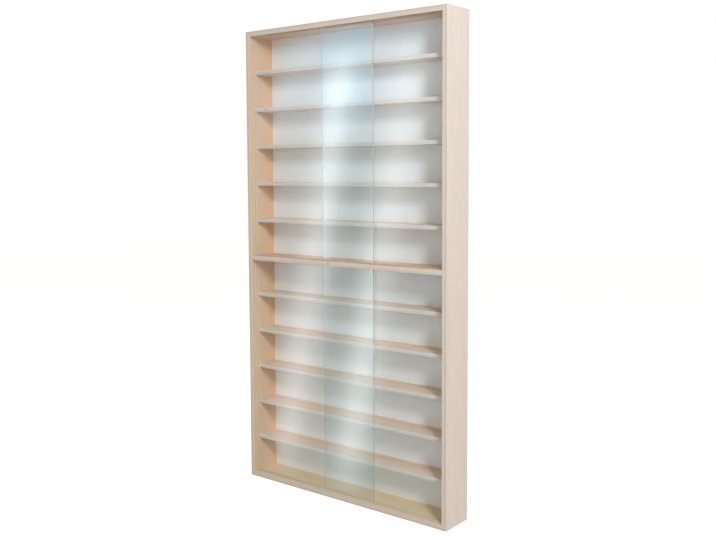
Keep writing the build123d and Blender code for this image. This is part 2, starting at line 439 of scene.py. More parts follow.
@dataclass(frozen=True)
class BirchPlywood(Finish):
    """Birch plywood under a clear matt lacquer, with its layers showing on every edge."""

    outer_face: Color = (0.75, 0.65, 0.57)
    inner_face: Color = (0.80, 0.565, 0.375)
    # The colour of a strip along the front of an inner face; on the frame it is darker.
    front_strip_face: Color = (0.72, 0.51, 0.345)
    # Painted shade: a warmer, deeper tone toward the back, for the shade and bounced light there.
    back_shade_face: Color = (0.89, 0.49, 0.235)
    # Where the front strip ends behind the front, and where the painted warm shade at the back
    # starts and is full before the back, in metres.
    front_strip_span: Span = (0.007, 0.013)
    back_shade_span: Span = (0.045, 0.012)
    figure: Stain = Stain((0.52, 0.34, 0.2), 0.13)
    streaks: Stain = Stain((0.5, 0.34, 0.22), 0.07)
    pores: Stain = Stain((0.42, 0.27, 0.16), 0.2)
    pin_knots: Stain = Stain((0.3, 0.18, 0.1), 0.6)
    edge: Color = (0.73, 0.63, 0.54)
    cross_edge: Color = (0.60, 0.48, 0.38)
    cross_share: float = 0.35
    cross_variation: float = 0.5
    end_grain: Stain = Stain((0.45, 0.3, 0.19), 0.3)
    glue_line: Stain = Stain((0.4, 0.26, 0.16), 0.25)
    # Grey toward the outer face of an edge: partly a darker outer ply, partly painted shade on the
    # eased arris.
    outer_ply_and_shade: Stain = Stain((0.45, 0.4, 0.34), 0.3)
    outer_ply_and_shade_span: Span = (0.001, 0.0065)
    edge_knot: Stain = Stain((0.27, 0.2, 0.15), 0.75)
    edge_knot_scale: Triple = (190.0, 330.0, 400.0)
    edge_knot_span: Span = (0.3, 1.0)
    layer: float = 0.00133
    cut_step: Triple = (1.7, 0.61, 0.37)
    # How far the normal looks through the sheet where the outer face gives way to the inner one,
    # and where an edge gives way to a face.
    side_span: Span = (-0.5, 0.5)
    edge_span: Span = (0.5, 0.85)
    roughness: float = 0.46
    streak_roughness: float = 0.08
    edge_roughness: float = 0.12
    streak_height: float = 0.35
    relief: Relief = Relief(0.00008, 0.5)
    specular: float = 0.35

    def turn(self, layout: Layout, low: Vector, high: Vector) -> tuple[Vector, Vector, Vector]:
        """Works out how a sheet's position becomes length, width and depth from its outer face.

        Args:
            layout: How the sheet lies.
            low: The sheet's lowest corner.
            high: The sheet's highest corner.

        Returns:
            The location, rotation and scale for a Mapping node.
        """
        if layout is Layout.LEFT_SIDE:
            return Vector((0, 0, -low.x)), Vector((0, -math.pi / 2, 0)), Vector((1, 1, 1))
        if layout is Layout.RIGHT_SIDE:
            return Vector((0, 0, high.x)), Vector((0, math.pi / 2, 0)), Vector((1, 1, 1))
        if layout is Layout.TOP_FACE_OUT:
            return Vector((0, 0, high.z)), Vector((0, 0, 0)), Vector((1, 1, -1))
        return Vector((0, 0, -low.z)), Vector((0, 0, 0)), Vector((1, 1, 1))

    def inner_color(self, graph: Graph, position: Socket, low: Vector, high: Vector) -> Socket:
        """Colours an inner face from its front strip to the painted warm shade at the back.

        Args:
            graph: The material's nodes.
            position: The position in the case.
            low: The sheet's lowest corner.
            high: The sheet's highest corner.

        Returns:
            The colour.
        """
        inward = graph.part(position, "Y")
        # A strip along the front gets its own colour.
        past_front_strip = graph.ramp(inward, *(low.y + reach for reach in self.front_strip_span))
        color = graph.blend(past_front_strip, self.front_strip_face, self.inner_face)
        # Painted shade: the face turns a deeper orange toward the back.
        deep = graph.ramp(inward, *(high.y - reach for reach in self.back_shade_span))
        return graph.blend(deep, color, self.back_shade_face)

    def face_color(self, graph: Graph, color: Socket, figure: dict[str, Socket]) -> Socket:
        """Lays the veneer's figure over a face.

        Args:
            graph: The material's nodes.
            color: The plain face.
            figure: The masks of the veneer's figure.

        Returns:
            The colour.
        """
        stains = {
            "Figure": self.figure,
            "Streaks": self.streaks,
            "Pores": self.pores,
            "Knots": self.pin_knots,
        }
        for mask, stain in stains.items():
            color = graph.stain(figure[mask], color, stain)
        return color

    def edge_color(self, graph: Graph, depth: Socket, layers: dict[str, Socket]) -> Socket:
        """Colours an edge by its layers, greyer outward from a darker ply and painted shade.

        Args:
            graph: The material's nodes.
            depth: The distance from the outer face.
            layers: The masks of the plywood's layers.

        Returns:
            The colour.
        """
        tone = graph.math("MULTIPLY_ADD", layers["Tone"], self.cross_variation, self.cross_share)
        cross = graph.math("MULTIPLY", layers["Cross layer"], tone)
        color = graph.blend(cross, self.edge, self.cross_edge)
        color = graph.stain(layers["End grain"], color, self.end_grain)
        color = graph.stain(layers["Glue line"], color, self.glue_line)
        # Partly a darker outer ply, partly painted shade on the eased arris.
        outer = graph.invert(graph.ramp(depth, *self.outer_ply_and_shade_span))
        return graph.stain(outer, color, self.outer_ply_and_shade)

    def knot(self, graph: Graph, position: Socket, place: Vector) -> Socket:
        """Marks a small knot in an edge.

        Args:
            graph: The material's nodes.
            position: The position in the case.
            place: The knot's middle.

        Returns:
            The mark, from 0 to 1.
        """
        away = graph.node("VectorMath", {0: position, 1: place}, operation="SUBTRACT").outputs[0]
        away = graph.stretch(away, self.edge_knot_scale)
        reach = graph.node("VectorMath", {0: away}, operation="LENGTH").outputs["Value"]
        return graph.invert(graph.ramp(reach, *self.edge_knot_span))

    def material(
        self, name: str, layout: Layout, low: Vector, high: Vector, seed: int, knot_x: float | None
    ) -> bpy.types.Material:
        """Makes the finish for one sheet.

        Args:
            name: The material's name.
            layout: How the sheet lies.
            low: The sheet's lowest corner.
            high: The sheet's highest corner.
            seed: Where in the veneer the sheet is cut from, so that no two sheets match.
            knot_x: The X of a small knot in the front edge, if it has one.

        Returns:
            The material.
        """
        material, graph, shader, place = self.begin(name)
        position = place.outputs["Object"]
        location, rotation, scale = self.turn(layout, low, high)
        turned = {"Rotation": rotation, "Scale": scale}
        board = graph.node("Mapping", {"Vector": position, "Location": location} | turned).outputs[0]
        facing = graph.node("Mapping", {"Vector": place.outputs["Normal"]} | turned).outputs[0]
        through = graph.part(facing, "Z")
        depth = graph.part(board, "Z")
        cut = {0: board, 1: tuple(seed * step for step in self.cut_step)}
        own = graph.node("VectorMath", cut, operation="ADD").outputs[0]
        figure = VeneerFigure().place(graph, position=own, figure_size=1.0)
        layers = PlyLayers().place(graph, position=own, depth=depth, layer=self.layer)

        inner = self.inner_color(graph, position, low, high)
        face = graph.blend(graph.ramp(through, *self.side_span), self.outer_face, inner)
        face = self.face_color(graph, face, figure)
        rim = self.edge_color(graph, depth, layers)
        if knot_x is not None:
            mark = self.knot(graph, position, Vector((knot_x, low.y, (low.z + high.z) / 2)))
            rim = graph.stain(mark, rim, self.edge_knot)
        on_edge = graph.invert(graph.ramp(graph.math("ABSOLUTE", through), *self.edge_span))
        rough = graph.math("MULTIPLY_ADD", figure["Streaks"], self.streak_roughness, self.roughness)
        sunk = graph.math("MULTIPLY_ADD", on_edge, layers["End grain"], figure["Pores"])
        raised = graph.math("MULTIPLY", figure["Streaks"], self.streak_height)
        look = {
            "Base Color": graph.blend(on_edge, face, rim),
            "Roughness": graph.math("MULTIPLY_ADD", on_edge, self.edge_roughness, rough),
            "Normal": graph.bump(graph.math("SUBTRACT", raised, sunk), self.relief),
            "Specular IOR Level": self.specular,
        }
        graph.fill(shader, look)
        return material


@dataclass(frozen=True)
class WhitePanel(MottledFinish):
    """Thin hardboard: smooth white in front, bare brown fibre with its mesh pattern behind."""

    white: Color = (0.85, 0.85, 0.845)
    dull_white: Stain = Stain((0.74, 0.76, 0.76), 0.05)
    fibre: Color = (0.30, 0.185, 0.11)
    dark_fibre: Stain = Stain((0.17, 0.1, 0.06), 0.55)
    pale_fibre: Stain = Stain((0.38, 0.25, 0.15), 0.3)
    bare_span: Span = (-0.6, -0.2)
    cloud_scale: float = 14.0
    speck_scale: float = 900.0
    mesh_pitch: float = 0.0022
    mesh_height: float = 0.8
    roughness: float = 0.38
    cloud_roughness: float = 0.08
    bare_roughness: float = 0.4
    relief: Relief = Relief(0.0001, 0.3)

    def material(self) -> bpy.types.Material:
        """Makes the finish."""
        material, graph, shader, place = self.begin("white panel")
        position = place.outputs["Object"]
        bare = graph.ramp(graph.part(place.outputs["Normal"], "Y"), *self.bare_span)
        mottle = self.mottle(graph, position)
        white = graph.stain(mottle["Cloud"], self.white, self.dull_white)
        fibre = graph.stain(mottle["Speck"], self.fibre, self.dark_fibre)
        fibre = graph.stain(mottle["Cloud"], fibre, self.pale_fibre)
        rough = graph.math("MULTIPLY_ADD", mottle["Cloud"], self.cloud_roughness, self.roughness)
        turns = graph.stretch(position, (math.tau / self.mesh_pitch,) * 3)
        waves = [graph.math("SINE", graph.part(turns, axis)) for axis in ("X", "Z")]
        weave = graph.math("MULTIPLY", graph.math("MULTIPLY", *waves), bare)
        height = graph.math("MULTIPLY_ADD", weave, self.mesh_height, mottle["Speck"])
        look = {
            "Base Color": graph.blend(bare, white, fibre),
            "Roughness": graph.math("MULTIPLY_ADD", bare, self.bare_roughness, rough),
            "Normal": graph.bump(height, self.relief),
        }
        graph.fill(shader, look)
        return material


@dataclass(frozen=True)
class ClearGlass(MottledFinish):
    """Clear float glass with a faint blue-green tint and ground edges."""

    tint: Color = (0.917, 0.957, 0.964)
    shadow_tint: Color = (0.965, 0.982, 0.985)
    index: float = 1.52
    roughness: float = 0.012
    haze: float = 0.02
    cloud_scale: float = 5.0
    speck_scale: float = 60.0
    ground_edge: Color = (0.42, 0.49, 0.47)
    ground_roughness: float = 0.6
    ground_span: Span = (0.6, 0.97)

    def material(self) -> bpy.types.Material:
        """Makes the finish."""
        material, graph, shader, place = self.begin("clear glass")
        mottle = self.mottle(graph, place.outputs["Object"])
        look = {
            "Base Color": self.tint,
            "Roughness": graph.math("MULTIPLY_ADD", mottle["Cloud"], self.haze, self.roughness),
            "IOR": self.index,
            "Transmission Weight": 1.0,
        }
        graph.fill(shader, look)
        flat = graph.math("ABSOLUTE", graph.part(place.outputs["Normal"], "Y"))
        ground = graph.invert(graph.ramp(flat, *self.ground_span))
        frosted = graph.node(
            "BsdfPrincipled", {"Base Color": self.ground_edge, "Roughness": self.ground_roughness}
        )
        sheet = graph.node("MixShader", {0: ground, 1: shader.outputs[0], 2: frosted.outputs[0]})
        clear = graph.node("BsdfTransparent", {"Color": self.shadow_tint})
        unseen = graph.rays(Rays.SHADOW, Rays.DIFFUSE)
        mix = graph.node("MixShader", {0: unseen, 1: sheet.outputs[0], 2: clear.outputs[0]})
        graph.surface(mix.outputs[0])
        return material


@dataclass(frozen=True)
class ZincPlate(MottledFinish):
    """Bright zinc plating on pressed steel, slightly clouded."""

    bright: Color = (0.70, 0.72, 0.74)
    dull: Color = (0.52, 0.54, 0.56)
    cloud_scale: float = 160.0
    speck_scale: float = 1600.0
    roughness: float = 0.3
    speck_roughness: float = 0.15
    relief: Relief = Relief(0.00003, 0.25)

    def material(self) -> bpy.types.Material:
        """Makes the finish."""
        material, graph, shader, place = self.begin("zinc plate")
        mottle = self.mottle(graph, place.outputs["Object"])
        rough = graph.math("MULTIPLY_ADD", mottle["Speck"], self.speck_roughness, self.roughness)
        look = {
            "Base Color": graph.blend(mottle["Cloud"], self.bright, self.dull),
            "Roughness": rough,
            "Normal": graph.bump(mottle["Speck"], self.relief),
            "Metallic": 1.0,
        }
        graph.fill(shader, look)
        return material


@dataclass(frozen=True)
class BareBeech(Finish):
    """Pressed beech, as biscuits are made of."""

    light: Color = (0.70, 0.50, 0.33)
    dark: Stain = Stain((0.50, 0.32, 0.2), 0.5)
    figure_size: float = 2.5
    roughness: float = 0.75
    relief: Relief = Relief(0.0001, 0.4)

    def material(self) -> bpy.types.Material:
        """Makes the finish."""
        material, graph, shader, place = self.begin("bare beech")
        figure = VeneerFigure().place(
            graph, position=place.outputs["Object"], figure_size=self.figure_size
        )
        look = {
            "Base Color": graph.stain(figure["Streaks"], self.light, self.dark),
            "Roughness": self.roughness,
            "Normal": graph.bump(figure["Streaks"], self.relief),
        }
        graph.fill(shader, look)
        return material


@dataclass(frozen=True)
class GreyFelt(MottledFinish):
    """Dense grey felt with a fibrous nap."""

    light: Color = (0.33, 0.32, 0.31)
    dark: Color = (0.13, 0.13, 0.13)
    cloud_scale: float = 500.0
    speck_scale: float = 3500.0
    roughness: float = 0.95
    sheen: float = 0.4
    relief: Relief = Relief(0.0003, 0.8)

    def material(self) -> bpy.types.Material:
        """Makes the finish."""
        material, graph, shader, place = self.begin("grey felt")
        mottle = self.mottle(graph, place.outputs["Object"])
        nap = graph.math("ADD", mottle["Speck"], mottle["Cloud"])
        look = {
            "Base Color": graph.blend(mottle["Speck"], self.dark, self.light),
            "Roughness": self.roughness,
            "Normal": graph.bump(nap, self.relief),
            "Sheen Weight": self.sheen,
        }
        graph.fill(shader, look)
        return material


def dress(node: bpy.types.Object, material: bpy.types.Material) -> None:
    """Puts one material on the whole of an object."""
    node.data.materials.clear()
    node.data.materials.append(material)


def deselect() -> None:
    """Leaves object mode with nothing selected, so that an operator acts only on what is added."""
    if bpy.context.object is not None and bpy.context.object.mode != "OBJECT":
        bpy.ops.object.mode_set(mode="OBJECT")
    bpy.ops.object.select_all(action="DESELECT")


def pick(piece: bpy.types.Object) -> None:
    """Selects one object and nothing else, and makes it the active one."""
    deselect()
    piece.select_set(True)
    bpy.context.view_layer.objects.active = piece


def settle(piece: bpy.types.Object) -> None:
    """Moves an object's place, turn and size into its mesh."""
    pick(piece)
    bpy.ops.object.transform_apply(location=True, rotation=True, scale=True)


def finish_modifier(piece: bpy.types.Object, kind: str, **settings: object) -> None:
    """Adds a modifier to an object and applies it.

    Args:
        piece: The object.
        kind: The modifier's type.
        settings: The modifier's own settings.
    """
    pick(piece)
    modifier = piece.modifiers.new(kind.lower(), kind)
    for name, value in settings.items():
        setattr(modifier, name, value)
    bpy.ops.object.modifier_apply(modifier=modifier.name)


def round_edges(piece: bpy.types.Object, width: float, segments: int, angle: float) -> None:
    """Rounds the edges of an object whose faces meet at more than an angle."""
    finish_modifier(
        piece, "BEVEL", width=width, segments=segments, limit_method="ANGLE", angle_limit=angle
    )


def pick_end(piece: bpy.types.Object, front: bool) -> None:
    """Selects the face at one end of an object, and leaves it in edit mode.

    Args:
        piece: The object.
        front: True for the end with the least Y, False for the other.
    """
    closeness = 1e-6
    bpy.ops.object.mode_set(mode="EDIT")
    bpy.ops.mesh.select_mode(type="FACE")
    bpy.ops.mesh.select_all(action="DESELECT")
    bpy.ops.object.mode_set(mode="OBJECT")
    places = [face.center.y for face in piece.data.polygons]
    end = min(places) if front else max(places)
    for face in piece.data.polygons:
        face.select = abs(face.center.y - end) < closeness
    bpy.ops.object.mode_set(mode="EDIT")


def draw_shank(straight: float, point: float, tip: float) -> None:
    """Draws the selected face out along -Y into a straight shank and a tapered point.

    Args:
        straight: The straight shank's length.
        point: The point's length.
        tip: The width of the tip, as a share of the shank's.
    """
    for reach in (straight, point):
        bpy.ops.mesh.extrude_region_move(TRANSFORM_OT_translate={"value": (0, -reach, 0)})
    bpy.ops.transform.resize(value=(tip, 1, tip))
    bpy.ops.object.mode_set(mode="OBJECT")


def corners(points: list[Vector]) -> tuple[Vector, Vector]:
    """Gives the lowest and highest corner of the box round some points."""
    axes = list(zip(*points))
    return Vector([min(axis) for axis in axes]), Vector([max(axis) for axis in axes])


def rear_middles(boxes: list[tuple[Vector, Vector]]) -> list[Vector]:
    """Gives the middle of the rear face of each box."""
    return [Vector(((low.x + high.x) / 2, high.y, (low.z + high.z) / 2)) for low, high in boxes]


def join_copies(template: bpy.types.Object, name: str, places: list[Vector]) -> bpy.types.Object:
    """Copies a template to each place and joins the copies.

    Args:
        template: A finished object at the origin. It is removed.
        name: The joined object's name.
        places: Where the copies go.

    Returns:
        The joined object, with its place in its mesh.
    """
    copies = []
    for spot in places:
        copy = template.copy()
        copy.data = template.data.copy()
        copy.location = spot
        bpy.context.scene.collection.objects.link(copy)
        copies.append(copy)
    bpy.data.objects.remove(template)
    deselect()
    for copy in copies:
        copy.select_set(True)
    bpy.context.view_layer.objects.active = copies[0]
    bpy.ops.object.join()
    joined = bpy.context.view_layer.objects.active
    joined.name = name
    settle(joined)
    return joined


@dataclass
class Carcass:
    """The four mitred frame boards, the middle board and the shelves."""

    nodes: dict[str, bpy.types.Object]
    frame: BirchPlywood = BirchPlywood()
    foot: BirchPlywood = BirchPlywood(
        inner_face=(0.88, 0.72, 0.47),
        front_strip_face=(0.86, 0.70, 0.46),
        # Painted warm shade toward the back.
        back_shade_face=(0.92, 0.66, 0.36),
    )
    shelf: BirchPlywood = BirchPlywood(
        outer_face=(0.93, 0.78, 0.62),
        inner_face=(0.94, 0.78, 0.63),
        front_strip_face=(0.94, 0.78, 0.63),
        # Painted warm shade toward the back.
        back_shade_face=(0.91, 0.625, 0.42),
        edge=(0.83, 0.74, 0.66),
        cross_edge=(0.70, 0.58, 0.48),
        # A fainter grey band at the edge: partly outer ply, partly painted shade.
        outer_ply_and_shade=Stain((0.45, 0.4, 0.34), 0.1),
        figure=Stain((0.52, 0.34, 0.2), 0.24),
    )
    knots: dict[str, float] = field(
        default_factory=lambda: {"middle_board": -0.032, "shelf_09": -0.244}
    )
    layouts: dict[str, Layout] = field(
        default_factory=lambda: {
            "left_side_board": Layout.LEFT_SIDE,
            "right_side_board": Layout.RIGHT_SIDE,
            "top_board": Layout.TOP_FACE_OUT,
            "bottom_board": Layout.UNDERSIDE_OUT,
            "middle_board": Layout.UNDERSIDE_OUT,
        }
    )

    def finish_of(self, name: str) -> BirchPlywood:
        """Picks the plywood of a board or shelf by its name."""
        if name.startswith("shelf_"):
            return self.shelf
        return self.foot if name == "bottom_board" else self.frame

    def dress(self) -> None:
        """Gives each board its own cut of birch plywood."""
        shelves = sorted(name for name in self.nodes if name.startswith("shelf_"))
        layouts = self.layouts | {name: Layout.UNDERSIDE_OUT for name in shelves}
        for seed, (name, layout) in enumerate(layouts.items(), 1):
            low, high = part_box(name)
            label = name.replace("_", " ") + " plywood"
            plywood = self.finish_of(name)
            dress(
                self.nodes[name],
                plywood.material(label, layout, low, high, seed, self.knots.get(name)),
            )
            log.info("%s: plywood, %s", name, layout.value)


@dataclass
class Glazing:
    """The four sliding panes."""

    nodes: dict[str, bpy.types.Object]
    finish: ClearGlass = ClearGlass()

    def dress(self) -> None:
        """Gives all panes the same glass."""
        glass = self.finish.material()
        for name in sorted(self.nodes):
            if name.endswith("_pane"):
                dress(self.nodes[name], glass)
                log.info("%s: glass", name)


@dataclass
class BackPanel:
    """The white panel and the brads that hold it."""

    nodes: dict[str, bpy.types.Object]
    metal: bpy.types.Material
    finish: WhitePanel = WhitePanel()
    head_radius: float = 0.0013
    head_thickness: float = 0.0005
    dome: float = 0.00018
    dome_rise: float = 0.2
    dome_inset: float = 0.35
    shank_radius: float = 0.0007
    point_length: float = 0.002
    tip: float = 0.08
    facets: int = 20
    round_angle: float = 0.8

    def brad_places(self) -> list[Vector]:
        """Finds the middle of each brad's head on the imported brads.

        Returns:
            The middle of each head's rear face.
        """
        points = [vertex.co for vertex in self.nodes["back_panel_brads"].data.vertices]
        rear = max(point.y for point in points)
        skin = self.head_radius / 10
        reach = 3 * self.head_radius
        heads = [point for point in points if rear - point.y < skin]
        places: list[Vector] = []
        for point in heads:
            if all((place - point).length > reach for place in places):
                low, high = corners([other for other in heads if (other - point).length < reach])
                places.append((low + high) / 2)
        return places

    def brads(self) -> bpy.types.Object:
        """Models the brads with domed heads, over their whole length.

        Returns:
            All brads as one object.
        """
        low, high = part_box("back_panel_brads")
        deselect()
        bpy.ops.mesh.primitive_cylinder_add(
            vertices=self.facets,
            radius=self.head_radius,
            depth=self.head_thickness,
            location=(0, -self.head_thickness / 2, 0),
            rotation=(-math.pi / 2, 0, 0),
        )
        brad = bpy.context.object
        settle(brad)
        pick_end(brad, front=False)
        bpy.ops.mesh.inset(thickness=self.head_radius * self.dome_inset)
        bpy.ops.transform.translate(value=(0, -self.dome * self.dome_rise, 0))
        bpy.ops.object.mode_set(mode="OBJECT")
        pick_end(brad, front=True)
        bpy.ops.mesh.inset(thickness=self.head_radius - self.shank_radius)
        straight = high.y - low.y - self.head_thickness - self.point_length
        draw_shank(straight, self.point_length, self.tip)
        round_edges(brad, self.dome, segments=2, angle=self.round_angle)
        bpy.ops.object.shade_smooth_by_angle(angle=SMOOTH_ANGLE)
        return join_copies(brad, "domed_brads", self.brad_places())

    def dress(self) -> None:
        """Finishes the panel and replaces the plain brads."""
        dress(self.nodes["back_panel"], self.finish.material())
        brads = self.brads()
        dress(brads, self.metal)
        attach(brads, "case")
        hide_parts("back_panel_brads")
        log.info("back_panel: white panel with %d faces of brads", len(brads.data.polygons))


@dataclass
class WallFixings:
    """The keyhole hangers, their screws, and the felt pads at the foot of the case."""

    nodes: dict[str, bpy.types.Object]
    metal: bpy.types.Material
    felt: GreyFelt = GreyFelt()
    head_radius: float = 0.0028
    shank_radius: float = 0.0015
    point_length: float = 0.004
    tip: float = 0.06
    facets: int = 32
    rim: float = 0.00008
    rim_angle: float = 0.6
    recess_width: float = 0.00085
    recess_reach: float = 0.0017
    recess_depth: float = 0.0012
    recess_taper: Triple = (0.45, 1.0, 0.6)
    pad_facets: int = 48
    pad_round: float = 0.25
    pad_round_angle: float = 0.8
    pad_nap: float = 0.00012
    nap_scale: float = 0.0011
    nap_smooth_angle: float = math.radians(60)

    def islands(self, name: str) -> list[tuple[Vector, Vector]]:
        """Finds the boxes of a node's separate solids along X.

        Args:
            name: The node. Its solids lie further apart than a screw's head reaches.

        Returns:
            The lowest and highest corner of each solid, from left to right.
        """
        points = [vertex.co.copy() for vertex in self.nodes[name].data.vertices]
        points.sort(key=lambda point: point.x)
        groups = [[points[0]]]
        for point in points[1:]:
            if point.x - groups[-1][-1].x > self.head_radius:
                groups.append([])
            groups[-1].append(point)
        return [corners(group) for group in groups]

    def screws(self) -> bpy.types.Object:
        """Models the countersunk screws with a cross recess.

        Returns:
            All screws as one object.
        """
        boxes = self.islands("hanger_screws")
        length = boxes[0][1].y - boxes[0][0].y
        cone = self.head_radius - self.shank_radius
        deselect()
        bpy.ops.mesh.primitive_cone_add(
            vertices=self.facets,
            radius1=self.head_radius,
            radius2=self.shank_radius,
            depth=cone,
            location=(0, -cone / 2, 0),
            rotation=(math.pi / 2, 0, 0),
        )
        screw = bpy.context.object
        settle(screw)
        pick_end(screw, front=True)
        draw_shank(length - cone - self.point_length, self.point_length, self.tip)
        for turn in (math.pi / 4, -math.pi / 4):
            blade = self.recess_blade(turn)
            finish_modifier(screw, "BOOLEAN", object=blade, operation="DIFFERENCE", solver="EXACT")
            bpy.data.objects.remove(blade)
        round_edges(screw, self.rim, segments=2, angle=self.rim_angle)
        bpy.ops.object.shade_smooth_by_angle(angle=SMOOTH_ANGLE)
        return join_copies(screw, "recessed_screws", rear_middles(boxes))

    def recess_blade(self, turn: float) -> bpy.types.Object:
        """Makes one of the two crossed wedges that cut a screw's recess.

        Args:
            turn: The wedge's turn about the screw's axis.

        Returns:
            The wedge.
        """
        deselect()
        bpy.ops.mesh.primitive_cube_add(size=1, location=(0, 0, 0))
        blade = bpy.context.object
        blade.scale = (2 * self.recess_reach, 2 * self.recess_depth, self.recess_width)
        settle(blade)
        for vertex in blade.data.vertices:
            vertex.select = vertex.co.y < 0
        bpy.ops.object.mode_set(mode="EDIT")
        bpy.ops.mesh.select_mode(type="VERT")
        bpy.ops.transform.resize(value=self.recess_taper)
        bpy.ops.object.mode_set(mode="OBJECT")
        blade.rotation_euler = (0, turn, 0)
        settle(blade)
        return blade

    def pads(self) -> bpy.types.Object:
        """Models the felt pads with rounded, slightly uneven rims.

        Returns:
            Both pads as one object.
        """
        boxes = self.islands("wall_pads")
        low, high = boxes[0]
        radius = (high.x - low.x) / 2
        thickness = high.y - low.y
        deselect()
        bpy.ops.mesh.primitive_cylinder_add(
            vertices=self.pad_facets,
            radius=radius,
            depth=thickness,
            location=(0, -thickness / 2, 0),
            rotation=(math.pi / 2, 0, 0),
        )
        pad = bpy.context.object
        settle(pad)
        round_edges(pad, thickness * self.pad_round, segments=3, angle=self.pad_round_angle)
        nap = bpy.data.textures.new("felt nap", "CLOUDS")
        nap.noise_scale = self.nap_scale
        finish_modifier(pad, "DISPLACE", texture=nap, strength=-self.pad_nap, mid_level=0.0)
        bpy.ops.object.shade_smooth_by_angle(angle=self.nap_smooth_angle)
        return join_copies(pad, "felt_wall_pads", rear_middles(boxes))

    def dress(self) -> None:
        """Finishes the hangers and replaces the plain screws and pads."""
        for name in ("left_wall_hanger", "right_wall_hanger"):
            dress(self.nodes[name], self.metal)
        screws = self.screws()
        dress(screws, self.metal)
        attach(screws, "case")
        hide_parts("hanger_screws")
        pads = self.pads()
        dress(pads, self.felt.material())
        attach(pads, "case")
        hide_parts("wall_pads")
        log.info("wall fixings: hangers, screws and pads")


@dataclass(frozen=True)
class Strip:
    """A soft bright strip that the panes reflect, by where it shows on them (X and Z)."""

    top: tuple[float, float]
    bottom: tuple[float, float]
    half_width: float
    strength: float


@dataclass(frozen=True)
class SoftBox:
    """A soft rectangular lamp."""

    name: str
    place: Triple
    aim: Triple
    width: float
    height: float
    power: float
    color: Color


